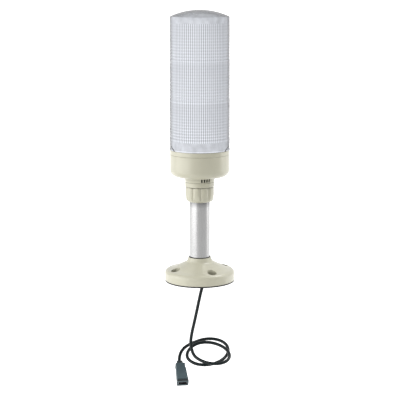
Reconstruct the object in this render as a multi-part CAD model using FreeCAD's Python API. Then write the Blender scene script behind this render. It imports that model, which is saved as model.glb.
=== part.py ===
"""Pole-mounted three-tier stack light, written as one STEP file for each piece.

Millimetres, +Z up. The origin is the centre of the bolt circle on the underside of the
flange gasket, where the light stands on a machine panel. -Y is the front.
"""
import FreeCAD
import Part

import math
import os

V = FreeCAD.Vector
UP = V(0, 0, 1)
ORIGIN = V(0, 0, 0)
OUT = "parts"

# ---------------------------------------------------------------- driving sizes
TIERS = 3

# panel flange and its gasket
GASKET_T = 1.4
FLANGE_R = 35.7
FLANGE_ROUND = 4.0          # round between the rim and the flare
FLANGE_SKIN = 2.8
FLARE_TOP_Z = 20.0          # where the flare meets the collar
FLARE_TOP_ROUND = 4.0
FLARE_KNEE_R = 27.5         # from here the flare runs flatter
FLARE_KNEE_Z = 13.1
FLARE_KNEE_ROUND = 25.0
FLARE_FOOT_Z = 11.3         # where it would meet the rim without the round
COLLAR_WALL = 0.65
COLLAR_SPREAD = 2.0         # radius gained from the collar's mouth to the flare
COLLAR_TOP_Z = 24.7
SEAL_T = 0.5
SEAL_SEAT = 1.2             # depth of the seal's seat in the collar's mouth
SEAL_RISE = 0.7
BOLT_CIRCLE_D = 55.0
BOLT_COUNT = 4
BOLT_TURN_DEG = 27.0
BOLT_HOLE_D = 5.5
BOLT_HEAD_D = 9.5
BOLT_SEAT_Z = 6.2
BOLT_BOSS_R = 7.2
WEB_COUNT = 8
WEB_T = 1.8

# pole
POLE_R = 10.25
POLE_WALL = 1.4
POLE_FIT = 0.15
POLE_BOTTOM_Z = 3.0
POLE_TOP_Z = 113.0
LOCKNUT_RIM = 3.25          # from the pole to a flat of its locknut
LOCKNUT_T = 4.0
LOCKNUT_Z = 3.6
SPANNER_GAP = 1.0

# head housing
HOUSING_R = 30.0
HOUSING_WALL = 2.6
HOUSING_BOTTOM_Z = 108.6
HOUSING_TOP_Z = 136.0
HOUSING_ROUND = 6.5
LINE_Z = 131.2              # fine groove round the housing
LINE_DEPTH = 0.25
LINE_W = 0.5
NECK_GAP = 1.9              # air round the pole in the neck, for the sound
NECK_WALL = 2.5
NECK_SPREAD = 0.9           # radius gained from the neck's foot to the housing
NECK_FILLET = 2.6
NECK_BOTTOM_Z = 103.0
STUB_WALL = 2.2             # threaded stub that carries the clamp nut
STUB_BOTTOM_Z = 91.0
SOUND_SLOTS = 4
SOUND_SLOT_W = 1.6
SOUND_SLOT_PITCH_DEG = 10.2
SOUND_SLOT_MID_DEG = -66.2
SOUND_SLOT_Z = (103.8, 107.2)
SCREEN_T = 1.5
EAR_W = 9.0
EAR_H = 3.2
EAR_T = 1.6
CATCH_GAP = 0.6             # air between a catch and the arch of its notch

# clamp nut and the ring it squeezes on the pole
NUT_GAP = 0.2
NUT_BOTTOM_Z = 82.5
NUT_COLLAR_H = 4.6
NUT_REEDS = 10
NUT_TURN_DEG = -12.5
REED_R = 5.5
REED_DEPTH = 1.25
CREST_CUT = 0.12            # taken off the reeds' crests by the turned envelope
REED_INSET = 0.45           # from the nut's collar to the crests of the reeds
REED_TOP_ROUND = 2.0
REED_SINK = 0.4             # how far a reed's round goes on inside the collar
REED_TAPER = 0.8            # radius lost at the nut's lower end
REED_TAPER_H = 8.0
NUT_ROUND = 3.2
NUT_THREAD_FIT = 0.1
NUT_POLE_GAP = 0.4
CLAMP_RING_H = 6.0
CLAMP_RING_T = 1.8

# lens cover
LENS_GAP = 0.4              # seam between the housing and the cover, filled by the seal
LENS_STEP = 0.3             # how far its foot stands out over the housing
LENS_DRAFT = 0.5            # radius lost from foot to shoulder
LENS_WALL = 2.0
LIP_H = 1.0
LIP_OUT = 0.2
SKIRT_TOP_Z = 145.6         # the first tier starts here
TIER_H = 39.2
BAND_H = 6.7                # plain band over the last tier
DOME_RISE = 6.0
SHOULDER_ROUND = 1.2
RINGS_PER_TIER = 9
RING_PITCH = 2.95
RING_DEPTH = 0.42
RING_FOOT = 2.6             # plain foot of a tier, under its first ring
RIBS = 80
RIB_DEPTH = 0.7
NOTCH_W = 11.0
NOTCH_H = 8.2

# light stack inside the cover
BASE_GAP = 0.4              # air between the lamp base's collar and the skirt
BASE_FIT = 0.1
BASE_PLUG_H = 4.5
BASE_PLUG_WALL = 1.8
SEAM_GAP = 0.3              # air round the seal and the catches
TRAY_GAP = 0.3              # air between a tray and the ribs
TRAY_T = 2.5
TRAY_RIM = 3.3              # from a tray's edge to the sleeve on it
DIFFUSER_WALL = 1.2
LED_BOARD_GAP = 1.3
LED_INSET = 5.0             # from a lamp board's edge to the lamps' ring
BOARD_T = 1.6
LEDS_PER_TIER = 8
LED_SIZE = 5.0
LED_H = 1.6
TIE_ROD_R = 2.0
TIE_NUT_AF = 7.0
TIE_NUT_H = 3.2
TOP_PLATE_T = 2.0
RIBBON_W = 8.0
RIBBON_T = 0.8
RIBBON_Y = 10.5
RIBBON_GAP = 0.5
ROD_GAP = 0.3

# control board and sounder in the housing
BOARD_Z = 127.6
BOARD_POST_R = 2.4
MAST_POST_R = 3.0
POST_GAP = 0.5              # air between a long post and the lamp base
BOARD_GAP = 0.4             # air between the board and the long posts
BOARD_EDGE = 0.2
SCREW_R = 1.25
SCREW_HEAD_R = 2.3
SCREW_HEAD_H = 1.6
SCREW_DEPTH = 7.0
SOUNDER_R = 6.0
SOUNDER_H = 8.5
SOUNDER_AT = (5.6, -10.4)
SOUNDER_HOLE_R = 1.2
TERMINAL_SIZE = (8.0, 5.0, 6.5)

# cable
CORD_D = 3.4
CORD_EXIT_X = 3.2           # the cable leaves the bush off its centre
BUSH_TOP_Z = 10.0
BUSH_LIP_T = 1.0
BUSH_LIP = 0.75

# moulded connector on the far end
RELIEF_L = 4.6
RELIEF_W = (5.9, 6.4)       # at the cord, at the body
RELIEF_T = (4.7, 5.2)
PLUG_L = 23.9
PLUG_W = (9.8, 11.9)        # at the cord, at the mouth
PLUG_T = 7.9
PLUG_ROUND = 0.7
PLUG_LINE_FROM_MOUTH = 2.4
PLUG_LINE_W = 0.7
PLUG_LINE_DEPTH = 0.5
GRIP_L = 5.0
GRIP_DEPTH = 0.2
MOUTH_W = 9.2
MOUTH_H = 3.8
MOUTH_DEPTH = 9.0
SHELL_T = 0.35
SHELL_RECESS = 0.6
TONGUE_W = 7.4
TONGUE_T = 1.3
TONGUE_L = 6.2
CONTACTS = 4
CONTACT_W = 0.9
CONTACT_T = 0.15
CONTACT_PITCH = 1.8

# ---------------------------------------------------------------- worked out from them
POLE_BORE_R = POLE_R + POLE_FIT
SEAL_R = POLE_R + SEAL_T
COLLAR_TOP_R = SEAL_R + COLLAR_WALL
FLARE_TOP_R = COLLAR_TOP_R + COLLAR_SPREAD
BOSS_R = FLARE_TOP_R + 0.2
LOCKNUT_AF = 2 * (POLE_R + LOCKNUT_RIM)
STUB_R = POLE_BORE_R + STUB_WALL
NECK_BORE_R = POLE_BORE_R + NECK_GAP
NECK_R = NECK_BORE_R + NECK_WALL
NECK_TOP_R = NECK_R + NECK_SPREAD
REED_CREST_R = NECK_R - REED_INSET
LENS_FOOT_R = HOUSING_R + LENS_STEP
BASE_R = LENS_FOOT_R - LENS_WALL - BASE_GAP
TRAY_R = LENS_FOOT_R - LENS_DRAFT - LENS_WALL - RIB_DEPTH - TRAY_GAP
DIFFUSER_R = TRAY_R - TRAY_RIM
LED_BOARD_R = DIFFUSER_R - DIFFUSER_WALL - LED_BOARD_GAP
LED_RING_R = LED_BOARD_R - LED_INSET
POLE_INNER_R = POLE_R - POLE_WALL
BUSH_LIP_R = POLE_INNER_R + BUSH_LIP
LENS_BOTTOM_Z = HOUSING_TOP_Z + LENS_GAP
TIER_FLOORS = [SKIRT_TOP_Z + i * TIER_H for i in range(TIERS)]
RIBS_TOP_Z = SKIRT_TOP_Z + TIERS * TIER_H
SHOULDER_Z = RIBS_TOP_Z + BAND_H
LENS_TOP_Z = SHOULDER_Z + DOME_RISE
NUT_TOP_Z = NECK_BOTTOM_Z - NUT_GAP
FLOOR_TOP_Z = HOUSING_BOTTOM_Z + HOUSING_WALL
HOUSING_BORE_R = HOUSING_R - HOUSING_WALL
MAST_POST_RING_R = HOUSING_BORE_R - BASE_FIT - BASE_PLUG_WALL - POST_GAP - MAST_POST_R
BOARD_R = MAST_POST_RING_R - MAST_POST_R - BOARD_GAP
BOARD_POST_RING_R = BOARD_R - BOARD_POST_R - BOARD_EDGE
MAST_POST_TOP_Z = SKIRT_TOP_Z - TRAY_T
NOTCH_ARCH_Z = HOUSING_TOP_Z + NOTCH_H - NOTCH_W / 2
CORD_R = CORD_D / 2
RIBBON_TOP_Z = TIER_FLOORS[-1] + BOARD_T + 1.0

# ---------------------------------------------------------------- cable route
# Free cable: out of the bush, then a long slant down to the coil.
DROP = [(CORD_EXIT_X, 0, 0), (3.0, 0, -5.5), (1.3, 0, -12.5), (-1.0, 0, -23), (-3.3, 0, -34.5),
        (-5.9, 0, -46.5), (-8.3, 0, -56.9), (-9.8, 0.2, -68.1)]
# Two springy turns, set in it by its packing, hang tilted with their front edge low.
COIL_CENTRE = V(0, 0, -77.2)
COIL_TILT_DEG = 22.0
COIL_START_DEG = 196.0
COIL_END_DEG = 844.0
COIL_POINTS = 28
COIL_BLEND_DEG = (480.0, 570.0)
# each turn: centre across, centre along the slope, long and short half-axis, angle of the
# long one, height over the middle plane
FIRST_TURN = (11.4, -3.9, 20.9, 15.9, -34.4, 2.0)
SECOND_TURN = (7.8, 3.2, 23.3, 20.3, 41.5, -2.0)
# Last stretch, from the back of the second turn down to the connector.
TAIL = [(-14.7, 9.9, -73.7), (-19.9, 4.1, -78.4), (-21.4, -2.1, -83.5), (-21.1, -5.2, -86.0)]
PLUG_AIM = V(2.7, -16.4, -11.0)


# ---------------------------------------------------------------- small helpers
def polar(radius, degrees, z=0.0):
    """Point at a radius and an angle from +X about the pole's axis."""
    a = math.radians(degrees)
    return V(radius * math.cos(a), radius * math.sin(a), z)


def round_corner(before, corner, after, radius):
    """Arc of the given radius that is tangent to both legs of a corner, with its ends."""
    leg_in = (before - corner).normalize()
    leg_out = (after - corner).normalize()
    half = leg_in.getAngle(leg_out) / 2
    reach = radius / math.tan(half)
    start = corner + leg_in * reach
    end = corner + leg_out * reach
    middle_way = (leg_in + leg_out).normalize()
    middle = corner + middle_way * (radius / math.sin(half) - radius)
    return start, middle, end


def profile_face(corners):
    """Closed face in the XZ plane from (r, z) or (r, z, round) corners."""
    points = [V(c[0], 0, c[1]) for c in corners]
    rounds = [c[2] if len(c) > 2 else 0.0 for c in corners]
    count = len(points)
    stops = []
    edges = []
    for i, radius in enumerate(rounds):
        if radius:
            start, middle, end = round_corner(points[i - 1], points[i],
                                              points[(i + 1) % count], radius)
            edges.append((i, Part.Arc(start, middle, end).toShape()))
            stops.append((start, end))
        else:
            stops.append((points[i], points[i]))
    ordered = []
    arcs = dict(edges)
    for i in range(count):
        if i in arcs:
            ordered.append(arcs[i])
        leave = stops[i][1]
        arrive = stops[(i + 1) % count][0]
        if leave.distanceToPoint(arrive) > 1e-6:
            ordered.append(Part.makeLine(leave, arrive))
    return Part.Face(Part.Wire(ordered))


def turned(corners):
    """Solid of revolution about the pole's axis."""
    return profile_face(corners).revolve(ORIGIN, UP, 360)


def ring(inner_r, outer_r, z0, z1):
    """Plain ring with square edges."""
    return turned([(inner_r, z0), (outer_r, z0), (outer_r, z1), (inner_r, z1)])


def rod(radius, z0, z1, at=(0.0, 0.0)):
    """Upright cylinder."""
    return Part.makeCylinder(radius, z1 - z0, V(at[0], at[1], z0), UP)


def block(size_x, size_y, z0, z1, at=(0.0, 0.0)):
    """Upright block, centred on a point of the plan."""
    corner = V(at[0] - size_x / 2, at[1] - size_y / 2, z0)
    return Part.makeBox(size_x, size_y, z1 - z0, corner)


def hexagon(across_flats, z0, z1):
    """Upright hexagonal prism on the pole's axis."""
    corners = [polar(across_flats / math.sqrt(3), 60 * i, z0) for i in range(7)]
    return Part.Face(Part.makePolygon(corners)).extrude(V(0, 0, z1 - z0))


def spun(shape, degrees):
    """Copy of a shape turned about the pole's axis."""
    copy = shape.copy()
    copy.rotate(ORIGIN, UP, degrees)
    return copy


def around(shape, count, first_deg=0.0):
    """Copies of a shape, evenly spaced about the pole's axis."""
    return [spun(shape, first_deg + i * 360.0 / count) for i in range(count)]


def joined(shapes):
    """One solid from shapes that overlap."""
    return shapes[0].fuse(shapes[1:]).removeSplitter()


def save(name, shape):
    """Write one piece, or a group of like pieces, as a STEP file."""
    solids = shape.Solids
    if not solids or not all(s.isValid() and s.isClosed() for s in solids):
        raise ValueError("bad solid in " + name)
    out = solids[0] if len(solids) == 1 else Part.makeCompound(solids)
    out.exportStep(os.path.join(OUT, name + ".step"))
    print(f"{name}: {len(solids)} solid(s), {sum(s.Volume for s in solids):.0f} mm3")


# ---------------------------------------------------------------- flange and pole
def bolt_holes(radius, z0, z1):
    """Cylinders on the bolt circle."""
    at = polar(BOLT_CIRCLE_D / 2, 0)
    return around(rod(radius, z0, z1, (at.x, at.y)), BOLT_COUNT, BOLT_TURN_DEG)


def flange():
    """Bell-shaped panel flange: thin skin, ribbed underneath, with a collar for the pole."""
    shell = turned([(0, GASKET_T), (0, COLLAR_TOP_Z), (COLLAR_TOP_R, COLLAR_TOP_Z, 0.25),
                    (FLARE_TOP_R, FLARE_TOP_Z, FLARE_TOP_ROUND),
                    (FLARE_KNEE_R, FLARE_KNEE_Z, FLARE_KNEE_ROUND),
                    (FLANGE_R, FLARE_FOOT_Z, FLANGE_ROUND), (FLANGE_R, GASKET_T)])
    inner_r = FLANGE_R - FLANGE_SKIN
    hollow = turned([(0, 0), (0, FLARE_TOP_Z - FLANGE_SKIN),
                     (FLARE_TOP_R, FLARE_TOP_Z - FLANGE_SKIN),
                     (FLARE_KNEE_R, FLARE_KNEE_Z - FLANGE_SKIN),
                     (inner_r, FLARE_FOOT_Z - FLANGE_SKIN), (inner_r, 0)])
    body = shell.cut(hollow)
    inside = [rod(BOSS_R, LOCKNUT_Z + LOCKNUT_T, COLLAR_TOP_Z - 1)]
    inside += bolt_holes(BOLT_BOSS_R, GASKET_T, COLLAR_TOP_Z)
    web_l = FLANGE_R - BOSS_R - 1.0
    web = block(web_l, WEB_T, GASKET_T + 1.0, FLARE_TOP_Z, (BOSS_R - 0.5 + web_l / 2, 0))
    inside += around(web, WEB_COUNT, BOLT_TURN_DEG)
    body = joined([body] + [shell.common(piece) for piece in inside])
    seat_z = COLLAR_TOP_Z - SEAL_SEAT
    drills = bolt_holes(BOLT_HOLE_D / 2, 0, COLLAR_TOP_Z)
    drills += bolt_holes(BOLT_HEAD_D / 2, BOLT_SEAT_Z, COLLAR_TOP_Z)
    drills += [rod(POLE_BORE_R, 0, COLLAR_TOP_Z + 1), rod(SEAL_R, seat_z, COLLAR_TOP_Z + 1),
               rod(LOCKNUT_AF / math.sqrt(3) + SPANNER_GAP, 0, LOCKNUT_Z + LOCKNUT_T)]
    return body.cut(drills).removeSplitter()


def collar_seal():
    """Rubber ring in the mouth of the collar, tight round the pole."""
    base = COLLAR_TOP_Z - SEAL_SEAT
    return ring(POLE_R, SEAL_R, base, COLLAR_TOP_Z + SEAL_RISE)


def flange_gasket():
    """Flat rubber gasket under the flange, open over the webs and the locknut."""
    sheet = ring(LOCKNUT_AF / 2 + 3.0, FLANGE_R - 0.1, 0, GASKET_T)
    return sheet.cut(bolt_holes(BOLT_HOLE_D / 2, -1, GASKET_T + 1))


def pole():
    """Drawn aluminium tube from the flange up into the housing."""
    return ring(POLE_INNER_R, POLE_R, POLE_BOTTOM_Z, POLE_TOP_Z)


def pole_locknut():
    """Hexagonal nut that jams the pole in the flange from below."""
    blank = hexagon(LOCKNUT_AF, LOCKNUT_Z, LOCKNUT_Z + LOCKNUT_T)
    bevel = turned([(0, LOCKNUT_Z), (LOCKNUT_AF / 2 + 0.2, LOCKNUT_Z),
                    (LOCKNUT_AF / 2 + 2.4, LOCKNUT_Z + 1.2),
                    (LOCKNUT_AF / 2 + 2.4, LOCKNUT_Z + LOCKNUT_T), (0, LOCKNUT_Z + LOCKNUT_T)])
    return blank.common(bevel).cut(rod(POLE_R, 0, COLLAR_TOP_Z))


def cable_bush():
    """Rubber bush in the pole's lower end; the cable leaves through it."""
    lip_z = POLE_BOTTOM_Z - BUSH_LIP_T
    body = turned([(0, lip_z), (BUSH_LIP_R, lip_z), (BUSH_LIP_R, POLE_BOTTOM_Z),
                   (POLE_INNER_R, POLE_BOTTOM_Z), (POLE_INNER_R, BUSH_TOP_Z), (0, BUSH_TOP_Z)])
    nose = Part.makeCone(CORD_R + 1.6, CORD_R + 2.4, lip_z, V(CORD_EXIT_X, 0, 0), UP)
    return body.fuse(nose).cut(rod(CORD_R, -1, BUSH_TOP_Z + 1, (CORD_EXIT_X, 0)))


# ---------------------------------------------------------------- housing and clamp nut
def sound_slots():
    """Four upright slots through the neck, where the sounder is heard."""
    z0, z1 = SOUND_SLOT_Z
    reach = NECK_R + NECK_FILLET
    cutter = block(reach - POLE_R, SOUND_SLOT_W, z0, z1, ((reach + POLE_R) / 2 + 0.8, 0))
    first = SOUND_SLOT_MID_DEG - SOUND_SLOT_PITCH_DEG * (SOUND_SLOTS - 1) / 2
    return [spun(cutter, first + i * SOUND_SLOT_PITCH_DEG) for i in range(SOUND_SLOTS)]


def screw_posts(ring_r, post_r, top_z, first_deg):
    """Three posts with blind pilot holes."""
    at = polar(ring_r, 0)
    post = rod(post_r, FLOOR_TOP_Z - 1, top_z, (at.x, at.y))
    pilot = rod(SCREW_R, top_z - SCREW_DEPTH, top_z + 1, (at.x, at.y))
    return around(post.cut(pilot), 3, first_deg)


def housing():
    """Moulded cup with the neck, the threaded stub, the posts and two catch ears."""
    outer = turned([(0, STUB_BOTTOM_Z), (STUB_R, STUB_BOTTOM_Z), (STUB_R, NECK_BOTTOM_Z),
                    (NECK_R, NECK_BOTTOM_Z), (NECK_TOP_R, HOUSING_BOTTOM_Z, NECK_FILLET),
                    (HOUSING_R, HOUSING_BOTTOM_Z + 0.4, HOUSING_ROUND),
                    (HOUSING_R, LINE_Z - LINE_W / 2), (HOUSING_R - LINE_DEPTH, LINE_Z),
                    (HOUSING_R, LINE_Z + LINE_W / 2), (HOUSING_R, HOUSING_TOP_Z, 0.4),
                    (0, HOUSING_TOP_Z)])
    cavity = turned([(0, FLOOR_TOP_Z), (HOUSING_BORE_R, FLOOR_TOP_Z, 3.5),
                     (HOUSING_BORE_R, HOUSING_TOP_Z + 1), (0, HOUSING_TOP_Z + 1)])
    neck_bore = turned([(0, STUB_BOTTOM_Z - 1), (POLE_BORE_R, STUB_BOTTOM_Z - 1),
                        (POLE_BORE_R, NECK_BOTTOM_Z), (NECK_BORE_R, NECK_BOTTOM_Z + 0.6),
                        (NECK_BORE_R, FLOOR_TOP_Z + 1), (0, FLOOR_TOP_Z + 1)])
    body = outer.cut([cavity, neck_bore] + sound_slots())
    posts = screw_posts(BOARD_POST_RING_R, BOARD_POST_R, BOARD_Z, 0)
    posts += screw_posts(MAST_POST_RING_R, MAST_POST_R, MAST_POST_TOP_Z, 60)
    ear_z = HOUSING_TOP_Z + EAR_H
    ear_ring = ring(HOUSING_R - EAR_T, HOUSING_R, HOUSING_TOP_Z - 1, ear_z)
    ear = ear_ring.common(block(HOUSING_R, EAR_W, HOUSING_TOP_Z - 2, ear_z + 1, (HOUSING_R, 0)))
    return joined([body] + posts + around(ear, 2))


def sound_screen():
    """Ring of black felt in the neck, behind the slots."""
    z0, z1 = SOUND_SLOT_Z
    return ring(NECK_BORE_R - SCREEN_T, NECK_BORE_R, z0, z1 + 0.8)


def lens_catches():
    """Two dark arch-shaped catches that stand on the ears, in the notches of the cover."""
    z0 = HOUSING_TOP_Z + EAR_H
    arch_r = NOTCH_W / 2 - CATCH_GAP
    band = ring(BASE_R + SEAM_GAP, HOUSING_R - SEAM_GAP, z0, NOTCH_ARCH_Z + arch_r)
    arch = Part.makeCylinder(arch_r, HOUSING_R, V(0, 0, NOTCH_ARCH_Z), V(1, 0, 0))
    return Part.makeCompound(around(band.common(arch), 2))


def lens_seal():
    """Dark seal ring in the seam between the housing and the cover."""
    band = ring(BASE_R + SEAM_GAP, BASE_R + 3 * SEAM_GAP, HOUSING_TOP_Z, LENS_BOTTOM_Z)
    gap = block(3 * HOUSING_R, EAR_W + 0.4, HOUSING_TOP_Z - 1, LENS_BOTTOM_Z + 1)
    return band.cut(gap)


def nut_reeds():
    """Upright convex reeds of the grip; their rounded tops run into the collar."""
    top = NUT_TOP_Z - NUT_COLLAR_H + REED_SINK
    centre_r = REED_CREST_R - REED_R + CREST_CUT
    reed = rod(REED_R, NUT_BOTTOM_Z - 1, top, (centre_r, 0))
    rim = [e for e in reed.Edges if abs(e.CenterOfMass.z - top) < 1e-6]
    return around(reed.makeFillet(REED_TOP_ROUND, rim), NUT_REEDS, -90 + NUT_TURN_DEG)


def clamp_nut():
    """Hand nut under the housing: plain collar over reeds, threaded on the stub."""
    top = NUT_TOP_Z - NUT_COLLAR_H
    envelope = turned([(0, NUT_BOTTOM_Z), (REED_CREST_R - REED_TAPER, NUT_BOTTOM_Z, NUT_ROUND),
                       (REED_CREST_R, NUT_BOTTOM_Z + REED_TAPER_H), (REED_CREST_R, top + 1),
                       (0, top + 1)])
    core = rod(REED_CREST_R - REED_DEPTH, NUT_BOTTOM_Z, top + 1)
    grip = core.fuse(nut_reeds()).common(envelope)
    collar = turned([(0, top), (NECK_R, top, 0.4), (NECK_R, NUT_TOP_Z, 0.2), (0, NUT_TOP_Z)])
    cone_z = NUT_BOTTOM_Z + 2.0
    bore = turned([(0, NUT_BOTTOM_Z - 1), (POLE_R + NUT_POLE_GAP, NUT_BOTTOM_Z - 1),
                   (POLE_R + NUT_POLE_GAP, cone_z),
                   (POLE_R + CLAMP_RING_T, cone_z + CLAMP_RING_H),
                   (STUB_R + NUT_THREAD_FIT, STUB_BOTTOM_Z - 0.4),
                   (STUB_R + NUT_THREAD_FIT, NUT_TOP_Z + 1), (0, NUT_TOP_Z + 1)])
    return joined([grip, collar]).cut(bore)


def clamp_ring():
    """Split tapered ring that the nut squeezes on the pole."""
    z0 = NUT_BOTTOM_Z + 2.6
    z1 = STUB_BOTTOM_Z - 0.3
    body = turned([(POLE_R + 0.05, z0), (POLE_R + 0.35, z0), (POLE_R + 1.3, z1),
                   (POLE_R + 0.05, z1)])
    return body.cut(block(POLE_R, 1.5, z0 - 1, z1 + 1, (POLE_R, 0)))


# ---------------------------------------------------------------- lens cover
def lens_outer_r(z):
    """Outer radius of the cover: it narrows a little towards the shoulder."""
    share = (z - LENS_BOTTOM_Z) / (SHOULDER_Z - LENS_BOTTOM_Z)
    return LENS_FOOT_R - LENS_DRAFT * share


def dome_face(radius, z_edge, z_top):
    """Points of the shallow dome: its edge, a point half way, and its crown."""
    rise = z_top - z_edge
    sphere_r = (radius ** 2 + rise ** 2) / (2 * rise)
    half = radius / 2
    z_half = z_top - sphere_r + math.sqrt(sphere_r ** 2 - half ** 2)
    return V(radius, 0, z_edge), V(half, 0, z_half), V(0, 0, z_top)


def dome_profile(corners, z_edge, z_top):
    """Face under a dome: the (r, z) corners run from the axis out to the dome's edge."""
    points = [V(r, 0, z) for r, z in corners]
    edge, half, crown = dome_face(points[-1].x, z_edge, z_top)
    edges = [Part.makeLine(a, b) for a, b in zip(points[:-1], points[1:])]
    edges.append(Part.Arc(edge, half, crown).toShape())
    edges.append(Part.makeLine(crown, points[0]))
    return Part.Face(Part.Wire(edges)).revolve(ORIGIN, UP, 360)


def ring_steps(floor_z):
    """Stepped rings of one tier, deepest at its foot, as (r, z) corners."""
    corners = []
    for i in range(RINGS_PER_TIER):
        z = floor_z + RING_FOOT + i * RING_PITCH
        depth = RING_DEPTH * (1 - i / RINGS_PER_TIER)
        corners.append((lens_outer_r(z), z))
        corners.append((lens_outer_r(z) - depth, z + RING_PITCH * 0.3))
    last = floor_z + RING_FOOT + RINGS_PER_TIER * RING_PITCH
    corners.append((lens_outer_r(last), last))
    return corners


def star_face(z):
    """Inner outline of the ribbed wall: upright prisms all the way round."""
    valley = lens_outer_r(z) - LENS_WALL
    step = 180.0 / RIBS
    points = [polar(valley - (RIB_DEPTH if i % 2 else 0.0), i * step, z)
              for i in range(2 * RIBS)]
    return Part.makePolygon(points + points[:1])


def lens_cover():
    """One-piece clear cover: ribbed inside, ringed outside, with a domed top."""
    lip_r = LENS_FOOT_R + LIP_OUT
    corners = [(0, LENS_BOTTOM_Z), (lip_r, LENS_BOTTOM_Z), (lip_r, LENS_BOTTOM_Z + LIP_H),
               (lens_outer_r(LENS_BOTTOM_Z + LIP_H), LENS_BOTTOM_Z + LIP_H)]
    for floor_z in TIER_FLOORS:
        corners += ring_steps(floor_z)
    shoulder = SHOULDER_Z - SHOULDER_ROUND
    corners += [(lens_outer_r(shoulder), shoulder),
                (lens_outer_r(SHOULDER_Z) - 0.35, SHOULDER_Z - 0.35),
                (lens_outer_r(SHOULDER_Z) - SHOULDER_ROUND, SHOULDER_Z)]
    outer = dome_profile(corners, SHOULDER_Z, LENS_TOP_Z)
    skirt_r = LENS_FOOT_R - LENS_WALL
    skirt = rod(skirt_r, LENS_BOTTOM_Z - 1, SKIRT_TOP_Z)
    ribbed = Part.makeLoft([star_face(SKIRT_TOP_Z), star_face(RIBS_TOP_Z)], True, True)
    top_r = lens_outer_r(RIBS_TOP_Z) - LENS_WALL
    crown = dome_profile([(0, RIBS_TOP_Z), (top_r, RIBS_TOP_Z), (top_r, SHOULDER_Z - LENS_WALL)],
                         SHOULDER_Z - LENS_WALL, LENS_TOP_Z - LENS_WALL)
    notch = block(4 * HOUSING_R, NOTCH_W, LENS_BOTTOM_Z - 1, NOTCH_ARCH_Z)
    arch = Part.makeCylinder(NOTCH_W / 2, 4 * HOUSING_R, V(-2 * HOUSING_R, 0, NOTCH_ARCH_Z),
                             V(1, 0, 0))
    return outer.cut([skirt, ribbed, crown, notch, arch])


# ---------------------------------------------------------------- light stack
def stack_openings(z0, z1):
    """Holes for the tie rod and the ribbon through a tray or a board."""
    slot = block(RIBBON_W + 2 * RIBBON_GAP, RIBBON_T + 2 * RIBBON_GAP, z0 - 1, z1 + 1,
                 (0, RIBBON_Y))
    return [rod(TIE_ROD_R + ROD_GAP, z0 - 1, z1 + 1), slot]


def lamp_base():
    """White base of the lamps: it plugs into the housing and is screwed on its posts."""
    z0 = SKIRT_TOP_Z - TRAY_T
    foot_z = HOUSING_TOP_Z - BASE_PLUG_H
    plug_r = HOUSING_BORE_R - BASE_FIT
    bevel = BASE_R - TRAY_R
    base = turned([(0, z0), (plug_r - BASE_PLUG_WALL, z0), (plug_r - BASE_PLUG_WALL, foot_z),
                   (plug_r, foot_z), (plug_r, HOUSING_TOP_Z), (BASE_R, HOUSING_TOP_Z),
                   (BASE_R, SKIRT_TOP_Z - bevel), (TRAY_R, SKIRT_TOP_Z), (0, SKIRT_TOP_Z)])
    at = polar(MAST_POST_RING_R, 0)
    hole = rod(SCREW_R + 0.3, z0 - 1, SKIRT_TOP_Z + 1, (at.x, at.y))
    head = rod(SCREW_HEAD_R + 0.4, SKIRT_TOP_Z - SCREW_HEAD_H, SKIRT_TOP_Z + 1, (at.x, at.y))
    return base.cut(stack_openings(z0, SKIRT_TOP_Z) + around(hole, 3, 60) + around(head, 3, 60))


def tier_tray(floor_z):
    """White tray between two tiers."""
    z0 = floor_z - TRAY_T
    tray = turned([(0, z0), (TRAY_R - 0.8, z0), (TRAY_R, z0 + 0.8), (TRAY_R, floor_z),
                   (0, floor_z)])
    return tray.cut(stack_openings(z0, floor_z))


def tier_diffuser(floor_z, top):
    """Milky sleeve round the lamps of one tier; it carries the tray over it."""
    z1 = floor_z + TIER_H - (TOP_PLATE_T if top else TRAY_T)
    return ring(DIFFUSER_R - DIFFUSER_WALL, DIFFUSER_R, floor_z, z1)


def led_board(floor_z):
    """Round lamp board on a tray."""
    z1 = floor_z + BOARD_T
    return rod(LED_BOARD_R, floor_z, z1).cut(stack_openings(floor_z, z1))


def leds(floor_z):
    """Square lamps in a ring on their board."""
    z0 = floor_z + BOARD_T
    lamp = block(LED_SIZE, LED_SIZE, z0, z0 + LED_H, (LED_RING_R, 0))
    return Part.makeCompound(around(lamp, LEDS_PER_TIER, 180.0 / LEDS_PER_TIER))


def top_plate():
    """White plate that closes the last tier; the tie nut presses on it."""
    z0 = RIBS_TOP_Z - TOP_PLATE_T
    plate = turned([(0, z0), (DIFFUSER_R + 0.8, z0), (DIFFUSER_R + 0.8, RIBS_TOP_Z, 0.6),
                    (0, RIBS_TOP_Z)])
    return plate.cut(rod(TIE_ROD_R + ROD_GAP, z0 - 1, RIBS_TOP_Z + 1))


def tie_rod():
    """Rod that holds the trays and sleeves together, screwed into the lamp base."""
    foot = SKIRT_TOP_Z - TRAY_T
    shank = rod(TIE_ROD_R, foot, RIBS_TOP_Z + TIE_NUT_H + 1.5)
    head = hexagon(TIE_NUT_AF, foot - TIE_NUT_H, foot)
    return joined([shank, head])


def tie_nut():
    """Nut on the upper end of the tie rod."""
    nut = hexagon(TIE_NUT_AF, RIBS_TOP_Z, RIBS_TOP_Z + TIE_NUT_H)
    return nut.cut(rod(TIE_ROD_R, RIBS_TOP_Z - 1, RIBS_TOP_Z + TIE_NUT_H + 1))


def tier_ribbon():
    """Flat ribbon from the control board up to the last lamp board."""
    return block(RIBBON_W, RIBBON_T, BOARD_Z + BOARD_T, RIBBON_TOP_Z, (0, RIBBON_Y))


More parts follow.
